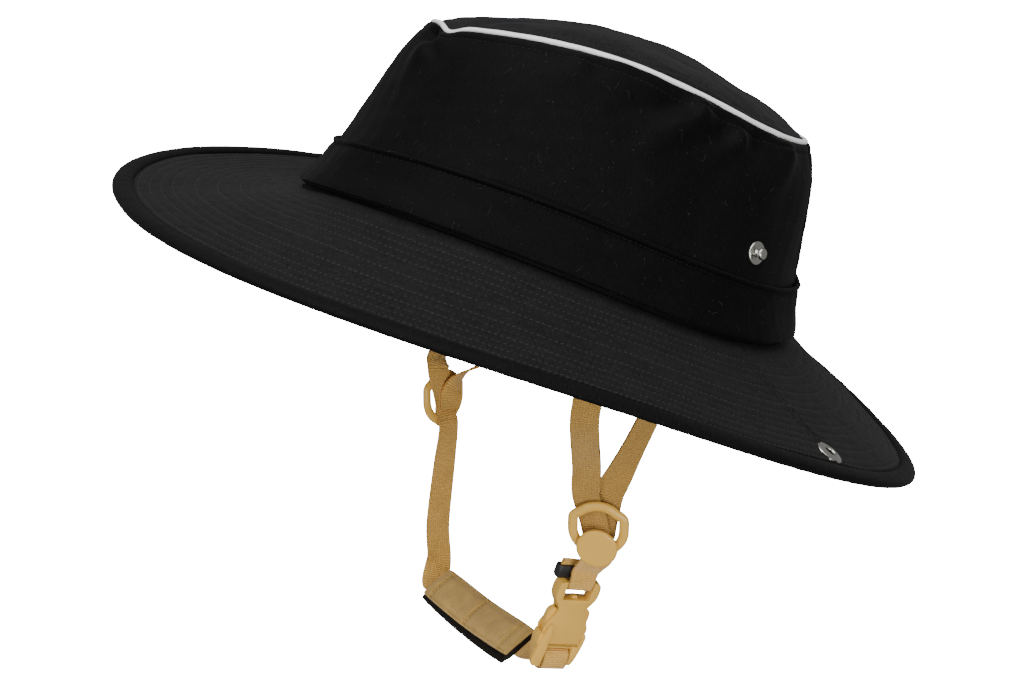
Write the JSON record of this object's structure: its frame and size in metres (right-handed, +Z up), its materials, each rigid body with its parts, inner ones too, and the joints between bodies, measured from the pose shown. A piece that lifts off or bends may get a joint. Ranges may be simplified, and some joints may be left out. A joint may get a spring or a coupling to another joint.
{
  "type": "wide-brim sun hat with a chin harness",
  "caption": "Black cotton hat with a tall oval crown, a wide stitched brim, white piping, a side snap and a tan webbing chin harness with a padded chin rest and a side-release buckle.",
  "frame": {"origin": "the head's seat: the middle of the crown's foot, level with the seam between the crown and the brim", "axes": "+Z up the crown, -Y towards the front of the hat, +X towards the wearer's left"},
  "size_m": [0.3996, 0.4503, 0.3511],
  "materials": {
    "black_cotton": "matt cotton twill",
    "white_piping": "smooth covered cord",
    "tan_webbing": "ribbed woven webbing",
    "black_padding": "soft brushed knit",
    "tan_plastic": "moulded satin",
    "black_plastic": "moulded satin",
    "bright_metal": "nickel-plated"
  },
  "bodies": {
    "root": {"crown_side": "black_cotton", "crown_tip": "black_cotton", "crown_piping": "white_piping", "hat_band": "black_cotton", "brim": "black_cotton", "brim_hem": "black_cotton", "snap_post": "bright_metal", "snap_socket": "bright_metal", "left_front_strap": "tan_webbing", "left_rear_strap": "tan_webbing", "right_front_strap": "tan_webbing", "right_rear_strap": "tan_webbing", "left_divider": "tan_plastic", "right_divider": "tan_plastic", "left_divider_button": "tan_plastic", "left_lower_strap": "tan_webbing", "strap_keeper": "black_plastic", "buckle_socket": "tan_plastic", "buckle_plug": "tan_plastic", "right_lower_strap": "tan_webbing", "chin_pad_cover": "tan_webbing", "chin_pad_lining": "black_padding"}
  },
  "joints": []
}
